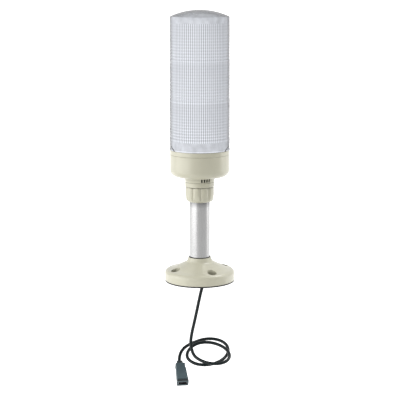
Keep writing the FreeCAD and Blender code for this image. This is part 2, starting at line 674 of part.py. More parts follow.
def mast_screws():
    """Three screws that hold the lamp base on its posts."""
    at = polar(MAST_POST_RING_R, 0)
    place = (at.x, at.y)
    head = rod(SCREW_HEAD_R, SKIRT_TOP_Z - SCREW_HEAD_H, SKIRT_TOP_Z, place)
    shank = rod(SCREW_R, MAST_POST_TOP_Z - SCREW_DEPTH + 1, SKIRT_TOP_Z - SCREW_HEAD_H, place)
    return Part.makeCompound(around(head.fuse(shank), 3, 60))


# ---------------------------------------------------------------- control board
def control_board():
    """Round control board on three short posts."""
    at = polar(BOARD_POST_RING_R, 0)
    disc = rod(BOARD_R, BOARD_Z, BOARD_Z + BOARD_T)
    hole = rod(SCREW_R + 0.2, BOARD_Z - 1, BOARD_Z + BOARD_T + 1, (at.x, at.y))
    return disc.cut(around(hole, 3))


def board_screws():
    """Three screws that hold the control board."""
    at = polar(BOARD_POST_RING_R, 0)
    place = (at.x, at.y)
    top = BOARD_Z + BOARD_T
    head = rod(SCREW_HEAD_R, top, top + SCREW_HEAD_H, place)
    shank = rod(SCREW_R, BOARD_Z - SCREW_DEPTH + 1, top, place)
    return Part.makeCompound(around(head.fuse(shank), 3))


def board_chips():
    """The larger components on the control board."""
    z0 = BOARD_Z + BOARD_T
    return Part.makeCompound([block(7.0, 7.0, z0, z0 + 1.2, (-2.0, -2.0)),
                              block(5.0, 6.4, z0, z0 + 1.6, (8.0, -9.5)),
                              block(4.5, 3.2, z0, z0 + 1.4, (-11.0, 2.0)),
                              rod(3.2, z0, z0 + 6.0, (0.0, -12.5))])


def sounder():
    """Round sounder under the control board, over the slots in the neck."""
    can = rod(SOUNDER_R, BOARD_Z - SOUNDER_H, BOARD_Z, SOUNDER_AT)
    mouth = rod(SOUNDER_HOLE_R, BOARD_Z - SOUNDER_H - 1, BOARD_Z - SOUNDER_H + 1.5, SOUNDER_AT)
    return can.cut(mouth)


def cable_terminal():
    """Connector under the control board that the cable ends in."""
    size_x, size_y, size_z = TERMINAL_SIZE
    return block(size_x, size_y, BOARD_Z - size_z, BOARD_Z, (CORD_EXIT_X, 0))


def inner_cable():
    """The stretch of cable inside the pole, from the bush to the control board."""
    return rod(CORD_R, 0, BOARD_Z - TERMINAL_SIZE[2], (CORD_EXIT_X, 0))


# ---------------------------------------------------------------- free cable
def coil_frame():
    """Directions across the coil, up its slope and out of its plane."""
    tilt = math.radians(COIL_TILT_DEG)
    return V(1, 0, 0), V(0, math.cos(tilt), math.sin(tilt)), V(0, -math.sin(tilt), math.cos(tilt))


def turn_point(turn, angle, outward):
    """Place on a turn's slanting ellipse: across, along the slope, height."""
    centre_x, centre_s, long_half, short_half, long_deg, height = turn
    lean = math.radians(long_deg)
    way = math.radians(angle) - lean
    a = outward * long_half * math.cos(way)
    b = outward * short_half * math.sin(way)
    return (centre_x + a * math.cos(lean) - b * math.sin(lean),
            centre_s + a * math.sin(lean) + b * math.cos(lean), height)


def coil_points():
    """Route points of the two turns, which lean across each other."""
    across, slope, normal = coil_frame()
    step = (COIL_END_DEG - COIL_START_DEG) / (COIL_POINTS - 1)
    outward = 1 / math.cos(math.radians(step / 2))
    blend_from, blend_to = COIL_BLEND_DEG
    points = []
    for i in range(COIL_POINTS):
        angle = COIL_START_DEG + i * step
        share = min(max((angle - blend_from) / (blend_to - blend_from), 0.0), 1.0)
        share = share * share * (3 - 2 * share)
        first = turn_point(FIRST_TURN, angle, outward)
        second = turn_point(SECOND_TURN, angle, outward)
        x, s, height = [a + (b - a) * share for a, b in zip(first, second)]
        points.append(COIL_CENTRE + across * x + slope * s + normal * height)
    return points


def cord_tube(name, points):
    """Round tube along straight runs joined by tangent arcs."""
    edges = []
    radii = []
    here = points[0]
    for before, corner, after in zip(points[:-2], points[1:-1], points[2:]):
        run_in = before.distanceToPoint(corner)
        run_out = corner.distanceToPoint(after)
        turn = (corner - before).getAngle(after - corner)
        radius = 0.45 * min(run_in, run_out) / math.tan(turn / 2)
        start, middle, end = round_corner(before, corner, after, radius)
        edges.append(Part.makeLine(here, start))
        edges.append(Part.Arc(start, middle, end).toShape())
        radii.append(radius)
        here = end
    edges.append(Part.makeLine(here, points[-1]))
    path = Part.Wire(edges)
    length = path.Length
    section = Part.Wire(Part.makeCircle(CORD_R, points[0], points[1] - points[0]))
    tube = path.makePipeShell([section], True, False)
    ratio = tube.Volume / (math.pi * CORD_R ** 2 * length)
    print(f"{name}: length {length:.1f}, volume ratio {ratio:.4f}, radii "
          + " ".join(f"{r:.0f}" for r in radii))
    return tube


def cord_coil():
    """Closed ring of the outer shape of the two turns."""
    across, slope, normal = coil_frame()
    mean_r = (sum(FIRST_TURN[2:4]) + sum(SECOND_TURN[2:4])) / 4
    shift_x = (SECOND_TURN[0] - FIRST_TURN[0]) / 2
    shift_s = (SECOND_TURN[1] - FIRST_TURN[1]) / 2
    half_wide = math.hypot(shift_x, shift_s) + CORD_R
    half_high = (FIRST_TURN[5] - SECOND_TURN[5]) / 2 + CORD_R
    middle = (across * (FIRST_TURN[0] + shift_x) + slope * (FIRST_TURN[1] + shift_s)
              + normal * ((FIRST_TURN[5] + SECOND_TURN[5]) / 2))
    ellipse = Part.Ellipse(ORIGIN, max(half_wide, half_high), min(half_wide, half_high))
    turn = 0 if half_wide > half_high else 90
    ellipse.rotate(FreeCAD.Placement(ORIGIN, UP, turn))
    ellipse.rotate(FreeCAD.Placement(ORIGIN, V(1, 0, 0), 90))
    section = Part.Face(Part.Wire(ellipse.toShape()))
    section.translate(V(mean_r, 0, 0))
    solid = section.revolve(ORIGIN, UP, 360)
    solid.rotate(ORIGIN, V(1, 0, 0), COIL_TILT_DEG)
    solid.translate(COIL_CENTRE + middle)
    return solid


# ---------------------------------------------------------------- connector
def plug_placement():
    """Frame of the connector: +Y back along the cord, +Z out of its flat top."""
    back = V(PLUG_AIM).negative().normalize()
    side = back.cross(UP).normalize()
    top = side.cross(back)
    rotation = FreeCAD.Rotation(side, back, top, "ZXY")
    return FreeCAD.Placement(V(*TAIL[-1]), rotation)


def placed(shape):
    """Shape moved from the connector's own frame to its place."""
    shape.Placement = plug_placement()
    return shape


def section_at(y, width, thick):
    """Rectangle across the connector at a distance along it."""
    w = width / 2
    t = thick / 2
    corners = [V(-w, y, -t), V(w, y, -t), V(w, y, t), V(-w, y, t)]
    return Part.makePolygon(corners + corners[:1])


def tapered(y0, y1, widths, thicks):
    """Straight-sided wedge between two rectangles."""
    return Part.makeLoft([section_at(y0, widths[0], thicks[0]),
                          section_at(y1, widths[1], thicks[1])], True, True)


def across_block(width, thick, y0, y1, x=0.0, z=0.0):
    """Block in the connector's frame from y0 down to y1."""
    return Part.makeBox(width, y0 - y1, thick, V(x - width / 2, y1, z - thick / 2))


def plug_relief():
    """Tapered strain relief between the cord and the connector's body."""
    wedge = tapered(0, -RELIEF_L, RELIEF_W, RELIEF_T)
    sides = [e for e in wedge.Edges if abs(e.tangentAt(e.FirstParameter).y) > 0.7
             or e.BoundBox.YMin > -0.01]
    return placed(wedge.makeFillet(PLUG_ROUND, sides))


def plug_body():
    """Moulded body with grip recesses, a line round the mouth and the mouth's pocket."""
    y0 = -RELIEF_L
    y1 = y0 - PLUG_L
    body = tapered(y0, y1, PLUG_W, (PLUG_T, PLUG_T))
    sides = [e for e in body.Edges if abs(e.tangentAt(e.FirstParameter).y) > 0.7]
    body = body.makeFillet(PLUG_ROUND, sides)
    cuts = [across_block(MOUTH_W, MOUTH_H, y1 + MOUTH_DEPTH, y1 - 1)]
    line_y = y1 + PLUG_LINE_FROM_MOUTH
    cuts.append(across_block(2 * PLUG_W[1], PLUG_LINE_DEPTH * 2, line_y + PLUG_LINE_W, line_y,
                             0, PLUG_T / 2))
    for side in (-1, 1):
        x = side * (PLUG_W[0] / 2 + GRIP_DEPTH)
        grip = Part.makeCylinder(GRIP_L / 2, 2 * PLUG_T, V(x, y0 - GRIP_L * 0.75, -PLUG_T))
        cuts.append(grip.common(across_block(4 * GRIP_DEPTH, 2 * PLUG_T, y0 - 1, y1, x)))
    return placed(body.cut(cuts))


def plug_shell():
    """Bright sheet-metal sleeve that lines the mouth."""
    y1 = -RELIEF_L - PLUG_L
    sleeve = across_block(MOUTH_W, MOUTH_H, y1 + MOUTH_DEPTH, y1 + SHELL_RECESS)
    inside = across_block(MOUTH_W - 2 * SHELL_T, MOUTH_H - 2 * SHELL_T, y1 + MOUTH_DEPTH + 1,
                          y1 - 1)
    return placed(sleeve.cut(inside))


def plug_tongue():
    """Dark tongue in the mouth, with the plate it stands on."""
    y1 = -RELIEF_L - PLUG_L
    back = y1 + MOUTH_DEPTH
    plate = across_block(MOUTH_W - 2 * SHELL_T, MOUTH_H - 2 * SHELL_T, back, back - 1.0)
    z = -(MOUTH_H / 2 - SHELL_T) + TONGUE_T / 2 + 0.5
    tongue = across_block(TONGUE_W, TONGUE_T, back - 0.5, back - TONGUE_L, 0, z)
    return placed(joined([plate, tongue]))


def plug_contacts():
    """Brass strips on the tongue."""
    back = -RELIEF_L - PLUG_L + MOUTH_DEPTH
    z = -(MOUTH_H / 2 - SHELL_T) + TONGUE_T + 0.5 + CONTACT_T / 2
    strips = []
    for i in range(CONTACTS):
        x = (i - (CONTACTS - 1) / 2) * CONTACT_PITCH
        strips.append(across_block(CONTACT_W, CONTACT_T, back - 1.0, back - TONGUE_L + 0.4, x, z))
    return placed(Part.makeCompound(strips))


# ---------------------------------------------------------------- everything
def main():
    os.makedirs(OUT, exist_ok=True)
    save("flange", flange())
    save("flange_gasket", flange_gasket())
    save("collar_seal", collar_seal())
    save("pole", pole())
    save("pole_locknut", pole_locknut())
    save("cable_bush", cable_bush())
    save("housing", housing())
    save("sound_screen", sound_screen())
    save("lens_catches", lens_catches())
    save("lens_seal", lens_seal())
    save("clamp_nut", clamp_nut())
    save("clamp_ring", clamp_ring())
    save("lens_cover", lens_cover())
    for i, floor_z in enumerate(TIER_FLOORS):
        name = str(i + 1)
        if i:
            save("tier_tray_" + str(i), tier_tray(floor_z))
        save("tier_diffuser_" + name, tier_diffuser(floor_z, i == TIERS - 1))
        save("led_board_" + name, led_board(floor_z))
        save("leds_" + name, leds(floor_z))
    save("lamp_base", lamp_base())
    save("top_plate", top_plate())
    save("tie_rod", tie_rod())
    save("tie_nut", tie_nut())
    save("tier_ribbon", tier_ribbon())
    save("mast_screws", mast_screws())
    save("control_board", control_board())
    save("board_screws", board_screws())
    save("board_chips", board_chips())
    save("sounder", sounder())
    save("cable_terminal", cable_terminal())
    save("inner_cable", inner_cable())
    turns = coil_points()
    save("cord_drop", cord_tube("cord_drop", [V(*p) for p in DROP] + turns[:1]))
    save("cord_coil", cord_coil())
    save("cord_tail", cord_tube("cord_tail", turns[-1:] + [V(*p) for p in TAIL]))
    save("plug_relief", plug_relief())
    save("plug_body", plug_body())
    save("plug_shell", plug_shell())
    save("plug_tongue", plug_tongue())
    save("plug_contacts", plug_contacts())


main()
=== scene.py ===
"""Finishes, cable, stage and lights for a slim stack light on a pole.

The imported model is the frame: every piece keeps its place in metres, +Z up and -Y to
the front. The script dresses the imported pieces, draws the cable and the thin bead under
the cover's lip, and sets up the studio and the camera.
"""
import logging
import math
from abc import ABC, abstractmethod
from dataclasses import dataclass, field
from enum import Enum
from typing import Iterable

import bmesh
import bpy
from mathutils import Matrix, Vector


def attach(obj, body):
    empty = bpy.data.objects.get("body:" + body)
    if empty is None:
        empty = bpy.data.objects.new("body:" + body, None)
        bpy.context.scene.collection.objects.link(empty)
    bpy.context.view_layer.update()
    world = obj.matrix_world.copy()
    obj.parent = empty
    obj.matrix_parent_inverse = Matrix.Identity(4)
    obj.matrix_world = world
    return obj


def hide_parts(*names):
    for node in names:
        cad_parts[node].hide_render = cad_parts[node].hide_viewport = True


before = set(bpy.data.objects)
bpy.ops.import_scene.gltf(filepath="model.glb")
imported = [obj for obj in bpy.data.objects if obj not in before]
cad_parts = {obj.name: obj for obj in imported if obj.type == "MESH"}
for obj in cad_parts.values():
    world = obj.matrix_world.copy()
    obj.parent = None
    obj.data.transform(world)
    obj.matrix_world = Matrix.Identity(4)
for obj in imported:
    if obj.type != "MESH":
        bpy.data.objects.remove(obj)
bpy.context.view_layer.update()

LOG = logging.getLogger("stack_light")
MM = 0.001
TOWER = "tower"
NOISE_BAND = (0.3, 0.7)  # where most values of a noise lie
# painted shade in recesses: how open a place is where it is darkest, and where it ends
OPEN_BAND = (0.3, 0.85)  # how open a recess is where it is darkest, and where it ends
OPEN_RAYS = 8
WHITE = (1.0, 1.0, 1.0, 1.0)

Socket = bpy.types.NodeSocket
Value = Socket | float | tuple
Colour = tuple[float, float, float]
Point = tuple[float, float, float]
Pair = tuple[float, float]


class Slot(Enum):
    """Material slots of the record."""

    IVORY = "ivory_housing"
    CLEAR = "clear_cover"
    WHITE_OPTIC = "white_optic"
    MILKY = "milky_sleeve"
    ALUMINIUM = "satin_aluminium"
    ZINC = "zinc_steel"
    RUBBER = "black_rubber"
    CATCH = "black_catch"
    BOARD_WHITE = "board_white"
    BOARD_GREEN = "board_green"
    LAMP = "lamp_resin"
    COMPONENT = "component_black"
    RIBBON = "ribbon_grey"
    CONNECTOR = "connector_white"
    JACKET = "cord_jacket"
    PLUG = "plug_grey"
    STEEL = "bright_steel"
    BRASS = "contact_brass"


class Operation(Enum):
    """Operations on shader values."""

    ADD = "ADD"
    SUBTRACT = "SUBTRACT"
    MULTIPLY = "MULTIPLY"
    DIVIDE = "DIVIDE"
    POWER = "POWER"
    LARGER = "MAXIMUM"
    ABOVE = "GREATER_THAN"
    BELOW = "LESS_THAN"
    ABSOLUTE = "ABSOLUTE"
    FRACTION = "FRACT"
    SINE = "SINE"
    BEARING = "ARCTAN2"


class Reach(Enum):
    """How a light treats the nodes that it names."""

    KEEP_OFF = "EXCLUDE"
    ONLY_THESE = "INCLUDE"


# ------------------------------------------------------------------ helpers
def scaled(colour: Colour, factor: float) -> Colour:
    """A lighter or darker tone of a colour."""
    return tuple(min(1.0, c * factor) for c in colour)


def put(name: str, data: bpy.types.ID) -> bpy.types.Object:
    """Make an object and link it to the scene.

    Args:
        name: the object's name.
        data: its mesh, curve, light or camera.

    Returns:
        The new object.
    """
    obj = bpy.data.objects.new(name, data)
    bpy.context.scene.collection.objects.link(obj)
    return obj


class Graph:
    """The nodes that feed one shader, of a material or of the world."""

    def __init__(self, owner: bpy.types.Material | bpy.types.World,
                 shader: str = "Principled BSDF", coords: str = "Object") -> None:
        """Take hold of the owner's shader.

        Args:
            owner: the material or world that the nodes belong to.
            shader: name of its shader node.
            coords: the texture coordinates to work in; "Object" is in metres.
        """
        owner.use_nodes = True
        self.owner = owner
        self.tree = owner.node_tree
        self.shader = self.tree.nodes[shader]
        self.coords = self.node("TexCoord").outputs[coords]

    def feed(self, socket: Socket, value: Value) -> None:
        """Link an output to an input, or set a constant on the input.

        Args:
            socket: the input.
            value: an output, a number or a tuple of numbers.
        """
        if isinstance(value, Socket):
            self.tree.links.new(value, socket)
        else:
            socket.default_value = value

    def wire(self, node: bpy.types.Node, **inputs: Value) -> None:
        """Feed a node's inputs; underscores in their names stand for spaces."""
        for key, value in inputs.items():
            self.feed(node.inputs[key.replace("_", " ")], value)

    def shade(self, **inputs: Value) -> None:
        """Feed the shader's inputs."""
        self.wire(self.shader, **inputs)

    def node(self, kind: str, **inputs: Value) -> bpy.types.Node:
        """Add a node and feed its inputs.

        Args:
            kind: the node's type, without its first word "ShaderNode".
            inputs: what each input gets.

        Returns:
            The new node.
        """
        node = self.tree.nodes.new(f"ShaderNode{kind}")
        self.wire(node, **inputs)
        return node

    def reckon(self, operation: Operation, *values: Value) -> Socket:
        """One operation on one or two values.

        Args:
            operation: what is done.
            values: outputs or constants, as many as the operation takes.

        Returns:
            The result.
        """
        node = self.node("Math")
        node.operation = operation.value
        for socket, value in zip(node.inputs, values):
            self.feed(socket, value)
        return node.outputs["Value"]

    def plus(self, first: Value, second: Value) -> Socket:
        """Sum of two values."""
        return self.reckon(Operation.ADD, first, second)

    def minus(self, first: Value, second: Value) -> Socket:
        """Difference of two values."""
        return self.reckon(Operation.SUBTRACT, first, second)

    def times(self, first: Value, second: Value) -> Socket:
        """Product of two values."""
        return self.reckon(Operation.MULTIPLY, first, second)

    def size(self, value: Value) -> Socket:
        """A value without its sign."""
        return self.reckon(Operation.ABSOLUTE, value)

    def wave(self, angle: Socket) -> Socket:
        """Sine of an angle, moved to 0..1."""
        return self.plus(self.times(self.reckon(Operation.SINE, angle), 0.5), 0.5)

    def scale(self, colour: Socket, factor: Socket) -> Socket:
        """A colour times a value.

        Args:
            colour: the colour.
            factor: what it is multiplied by.

        Returns:
            The scaled colour.
        """
        node = self.node("VectorMath")
        node.operation = "SCALE"
        self.wire(node, Vector=colour, Scale=factor)
        return node.outputs["Vector"]

    def split(self, vector: Socket) -> bpy.types.bpy_prop_collection:
        """X, Y and Z of a vector."""
        return self.node("SeparateXYZ", Vector=vector).outputs

    def stretched(self, factors: Point) -> Socket:
        """Coordinates scaled along X, Y and Z."""
        return self.node("Mapping", Vector=self.coords, Scale=factors).outputs["Vector"]

    def facing(self) -> Socket:
        """0 where the surface is seen square on, 1 where it is seen on edge."""
        return self.node("LayerWeight").outputs["Facing"]

    def noise(self, grain: float, detail: float = 3.0,
              along: Socket | None = None) -> Socket:
        """Noise with a grain of the given size.

        Args:
            grain: size of a grain in metres.
            detail: octaves of finer noise.
            along: coordinates to use in place of the graph's own.

        Returns:
            The noise value, about 0.5 on average.
        """
        return self.node("TexNoise", Vector=along or self.coords, Scale=1.0 / grain,
                         Detail=detail).outputs["Fac"]

    def between(self, value: Socket, start: float, end: float, low: float,
                high: float) -> Socket:
        """Map a value from start..end to low..high.

        Args:
            value: the value to map.
            start: value that gives low.
            end: value that gives high.
            low: result at start and before it.
            high: result at end and after it.

        Returns:
            The mapped value.
        """
        return self.node("MapRange", Value=value, From_Min=start, From_Max=end,
                         To_Min=low, To_Max=high).outputs["Result"]

    def spread(self, noise: Socket, low: float, high: float) -> Socket:
        """Map the middle of a noise to low..high."""
        return self.between(noise, *NOISE_BAND, low, high)

    def ramp(self, value: Socket, low: Colour, high: Colour,
             start: float = NOISE_BAND[0], end: float = NOISE_BAND[1]) -> Socket:
        """Colour between two tones.

        Args:
            value: what drives the ramp.
            low: colour at start and before it.
            high: colour at end and after it.
            start: value where the ramp begins.
            end: value where it ends.

        Returns:
            The ramp's colour.
        """
        node = self.node("ValToRGB", Fac=value)
        first, last = node.color_ramp.elements
        first.position, last.position = start, end
        first.color, last.color = (*low, 1.0), (*high, 1.0)
        return node.outputs["Color"]

    def painted_corner_shade(self, colour: Socket, reach: float, dark: float) -> Socket:
        """Paint shade into a colour in holes, grooves and corners.

        Args:
            colour: the colour in the open.
            reach: how far a corner is felt, in metres.
            dark: tone of the painted shade in the deepest places, as a share of the open
                colour.

        Returns:
            The colour with painted shade.
        """
        node = self.node("AmbientOcclusion", Distance=reach)
        node.samples = OPEN_RAYS
        shade = self.between(node.outputs["AO"], *OPEN_BAND, dark, 1.0)
        return self.scale(colour, shade)

    def bump(self, height: Socket, depth: float, strength: float) -> Socket:
        """Bump from a height.

        Args:
            height: height value from 0 to 1.
            depth: what 1 stands for, in metres.
            strength: how much of the bump shows.

        Returns:
            The bumped normal.
        """
        return self.node("Bump", Height=height, Distance=depth,
                         Strength=strength).outputs["Normal"]


# ------------------------------------------------------------------ finishes
@dataclass(frozen=True)
class Finish(ABC):
    """One surface finish of the stack light.

    Attributes:
        name: name of the material.
        colour: its main colour.
    """

    name: str
    colour: Colour

    @abstractmethod
    def cover(self, g: Graph) -> None:
        """Feed the shader of the finish."""

    def build(self) -> bpy.types.Material:
        """Make the material.

        Returns:
            The finished material.
        """
        g = Graph(bpy.data.materials.new(self.name))
        self.cover(g)
        return g.owner

    def clouded(self, g: Graph, size: float, low: float, high: float,
                detail: float = 4.0) -> Socket:
        """The colour in soft clouds between a darker and a lighter tone.

        Args:
            g: the material's graph.
            size: size of a cloud in metres.
            low: the darker tone, as a share of the colour.
            high: the lighter tone, as a share of the colour.
            detail: octaves of finer cloud.

        Returns:
            The clouded colour.
        """
        return g.ramp(g.noise(size, detail), scaled(self.colour, low),
                      scaled(self.colour, high))

    def marks_and_painted_shade(self, g: Graph, tone: Socket) -> Socket:
        """The tone with the piece's own marks and painted shade; most finishes have
        neither.
        """
        return tone


@dataclass(frozen=True)
class MouldedPlastic(Finish):
    """Opaque moulded plastic with a fine spark-eroded grain, faint mottling and painted
    shade in corners.

    Attributes:
        roughness: middle roughness; it varies down by smoother and up by rougher.
        grain: size of the grain.
        depth: height of the grain.
        relief: share of that height that shows.
        mottling: how far the clouds leave the colour, each way.
        cloud: size of a cloud.
        shade: tone left in the deepest corners.
        corner: how far a corner is felt.
        coat: weight of the gloss of a polished mould.
        coat_roughness: roughness of that gloss.
        glow: how much light wanders through thin walls.
        glow_reach: how far it wanders.
        glow_colour: how much of that red, green and blue do.
        smoother: how far the roughness falls below its middle.
        rougher: how far it rises above it.
        ior: refractive index.
    """

    roughness: float
    grain: float = 0.5 * MM
    depth: float = 0.02 * MM
    relief: float = 0.5
    mottling: float = 0.025
    cloud: float = 14 * MM
    # shade: tone of the painted shade left in the deepest corners.
    shade: float = 0.35
    # corner: how far from a corner that painted shade reaches.
    corner: float = 7 * MM
    coat: float = 0.0
    coat_roughness: float = 0.22
    glow: float = 0.0
    glow_reach: float = 2 * MM
    glow_colour: Colour = (1.0, 0.8, 0.6)
    smoother: float = 0.05
    rougher: float = 0.06
    ior: float = 1.49

    def cover(self, g: Graph) -> None:
        """Feed the shader with grain, clouds and painted shade in corners.

        Args:
            g: the material's graph.
        """
        fine = g.noise(self.grain, 2.0)
        tone = self.clouded(g, self.cloud, 1 - self.mottling, 1 + self.mottling)
        # base colour: clouds with painted shade in holes, grooves and corners
        g.shade(Base_Color=self.marks_and_painted_shade(g, g.painted_corner_shade(tone, self.corner, self.shade)),
                Roughness=g.spread(fine, self.roughness - self.smoother,
                                   self.roughness + self.rougher),
                Normal=g.bump(fine, self.depth, self.relief), IOR=self.ior,
                Coat_Weight=self.coat, Coat_Roughness=self.coat_roughness)
        if self.glow:
            g.shade(Subsurface_Weight=self.glow, Subsurface_Scale=self.glow_reach,
                    Subsurface_Radius=self.glow_colour)


@dataclass(frozen=True)
class SocketPlastic(MouldedPlastic):
    """Moulded plastic, darker on the relief, with a band of painted shade round the
    mouth.

    Attributes:
        aim: direction that the socket points in.
        band: where the band of painted shade begins and ends along that direction.
        blend: how softly it begins and ends.
        black: tone of the painted shade on the band.
        neck: where the relief's tone ends and the body's begins.
        neck_tone: tone of the relief.
    """

    aim: Point = (0.1355, -0.8229, -0.5519)
    band: Pair = (75.4 * MM, 77.25 * MM)
    blend: float = 0.15 * MM
    black: float = 0.05
    neck: Pair = (52.8 * MM, 53.6 * MM)
    neck_tone: float = 0.4

    def marks_and_painted_shade(self, g: Graph, tone: Socket) -> Socket:
        """Paint shade on the band round the mouth and darken the relief.

        Args:
            g: the material's graph.
            tone: the plastic's tone.

        Returns:
            The tone with the painted shade and the darker relief.
        """
        place = g.split(g.coords)
        parts = [g.times(place[axis], part) for axis, part in zip("XYZ", self.aim)]
        along = g.plus(g.plus(parts[0], parts[1]), parts[2])
        # painted shade on the band round the mouth
        first, last = self.band
        before = g.between(along, first - self.blend, first, 1.0, 0.0)
        after = g.between(along, last, last + self.blend, 0.0, 1.0)
        kept = g.plus(self.black, g.times(g.plus(before, after), 1 - self.black))
        start = g.between(along, *self.neck, self.neck_tone, 1.0)
        return g.scale(tone, g.times(kept, start))


@dataclass(frozen=True)
class RibbedCover(Finish):
    """Frosted polycarbonate; the ribs behind it show as stripes, its rings as lines;
    trays and rings get painted light and shade.

    Attributes:
        ribs: stripes in one turn round the cover.
        stripe: how dark a stripe is.
        ring_pitch: height from ring to ring.
        ring: how dark the painted shade in a ring's step is at the foot and at the top of
            a tier.
        floor: height at which the ribbed wall begins.
        ceiling: height at which it ends.
        tier: height of one tier.
        tray_light_and_shade: painted light at the foot of a tier, where a lit tray shows,
            and painted shade from tray_shade_end on, under the next tray.
        tray_shade_end: share of the tier's height at which the painted shade is full.
        plain: tone of the smooth skirt and cap.
        patch: size of the soft patches on them.
        patches: the darkest and the lightest patch.
        lip: tone of the painted highlight on the rounded lip at the foot of the skirt.
        lip_top: height at which the lip begins to pass into the skirt.
        lip_blend: height over which it does so.
        tab_foot: height at which the arched line round a side tab begins.
        tab_rise: how high the arch is.
        tab_half: half its width, measured round the skirt.
        tab_radius: radius of the skirt there.
        tab_arch: how square the arch is.
        tab_line: how dark the line is.
        tab_edge: how far from the arch the line is full and where it has ended.
        cloud: size of the faint clouds in the plastic.
        clouds: the darkest and the lightest cloud.
        frost: size of the frost's grain.
        roughness: lowest and highest roughness of the frost.
        depth: height of a rib in the frosted face.
        ring_depth: height of a ring, as a share of that.
        relief: share of that height that shows.
        through: light let through where the wall is seen square on.
        edge: light let through where it is seen on edge.
        turning: between which values of facing the one passes into the other.
        gloss: strength of the reflections.
        ior: refractive index.
    """

    ribs: float = 88.0
    stripe: float = 0.46
    ring_pitch: float = 2.95 * MM
    ring: Pair = (0.17, 0.051)
    floor: float = 145.6 * MM
    ceiling: float = 263.2 * MM
    tier: float = 39.2 * MM
    tray_light_and_shade: Pair = (1.09, 0.96)
    tray_shade_end: float = 0.9
    plain: float = 0.72
    patch: float = 7 * MM
    patches: Pair = (0.86, 1.14)
    lip: float = 0.98
    lip_top: float = 137.2 * MM
    lip_blend: float = 0.3 * MM
    tab_foot: float = 134.9 * MM
    tab_rise: float = 8.7 * MM
    tab_half: float = 19.5 * MM
    tab_radius: float = 30.2 * MM
    tab_arch: float = 1.2
    tab_line: float = 0.85
    tab_edge: Pair = (0.05, 0.10)
    cloud: float = 20 * MM
    clouds: Pair = (0.985, 1.0)
    frost: float = 1.2 * MM
    roughness: Pair = (0.22, 0.28)
    depth: float = 0.2 * MM
    ring_depth: float = 0.5
    relief: float = 0.3
    through: float = 0.05
    edge: float = 1.0
    turning: Pair = (0.55, 0.92)
    gloss: float = 0.06
    ior: float = 1.45

    def ribbed(self, g: Graph, height: Socket) -> Socket:
        """1 on the ribbed wall of the three tiers, 0 above and below it."""
        return g.times(g.reckon(Operation.ABOVE, height, self.floor),
                       g.reckon(Operation.BELOW, height, self.ceiling))

    def tabs(self, g: Graph, turn: Socket, height: Socket) -> Socket:
        """Find the arched line that parts each side tab from the skirt.

        Args:
            g: the material's graph.
            turn: angle round the cover, from the back.
            height: height over the panel.

        Returns:
            1 on the line, 0 elsewhere.
        """
        along = g.times(g.minus(g.size(turn), math.pi / 2),
                        self.tab_radius / self.tab_half)
        up = g.reckon(Operation.DIVIDE, g.minus(height, self.tab_foot), self.tab_rise)
        across, over = (g.reckon(Operation.POWER, g.size(part), self.tab_arch)
                        for part in (along, up))
        off = g.size(g.minus(g.plus(across, over), 1.0))
        return g.between(off, *self.tab_edge, 1.0, 0.0)

    def wall(self, g: Graph, height: Socket, stripes: Socket, rings: Socket) -> Socket:
        """Tone of the ribbed wall, with painted light and shade from the trays and
        painted shade in the rings.

        Args:
            g: the material's graph.
            height: height over the panel.
            stripes: 1 on a rib, 0 between two.
            rings: 1 on a ring, 0 between two.

        Returns:
            Share of the colour that each place keeps.
        """
        climb = g.reckon(Operation.FRACTION, g.reckon(
            Operation.DIVIDE, g.minus(height, self.floor), self.tier))
        # painted light at the foot of each tier, where a lit tray shows, and painted
        # shade below the next tray
        tone = g.between(climb, 0.0, self.tray_shade_end, *self.tray_light_and_shade)
        # painted shade in the steps of the real rings
        ring_shade = g.times(rings, g.between(climb, 0.0, 1.0, *self.ring))
        return g.minus(tone, g.plus(g.times(stripes, self.stripe), ring_shade))

    def smooth(self, g: Graph, height: Socket) -> Socket:
        """Tone of the lip, with its painted highlight, and of the skirt and the cap,
        which have no ribs.

        Args:
            g: the material's graph.
            height: height over the panel.

        Returns:
            Share of the colour that each place keeps.
        """
        # the rounded lip gets a painted highlight
        tone = g.between(height, self.lip_top, self.lip_top + self.lip_blend, self.lip,
                         self.plain)
        return g.times(tone, g.spread(g.noise(self.patch, 2.0), *self.patches))

    def cover(self, g: Graph) -> None:
        """Feed the shader with stripes, rings, tab lines, frost, and painted light and
        shade.

        Args:
            g: the material's graph.
        """
        place = g.split(g.coords)
        height = place["Z"]
        turn = g.reckon(Operation.BEARING, place["X"], place["Y"])
        stripes = g.wave(g.times(turn, self.ribs))
        rings = g.wave(g.times(height, math.tau / self.ring_pitch))
        ribbed = self.ribbed(g, height)
        tone = g.plus(g.times(self.wall(g, height, stripes, rings), ribbed),
                      g.times(g.minus(1.0, ribbed), self.smooth(g, height)))
        lined = g.minus(1.0, g.times(self.tabs(g, turn, height), self.tab_line))
        risen = g.times(g.plus(stripes, g.times(rings, self.ring_depth)), ribbed)
        clouds = self.clouded(g, self.cloud, *self.clouds, detail=3.0)
        g.shade(Base_Color=g.scale(clouds, g.times(tone, lined)),
                Roughness=g.spread(g.noise(self.frost, 2.0), *self.roughness),
                Normal=g.bump(risen, self.depth, self.relief),
                Transmission_Weight=g.between(g.facing(), *self.turning, self.through,
                                              self.edge),
                IOR=self.ior, Specular_IOR_Level=self.gloss)


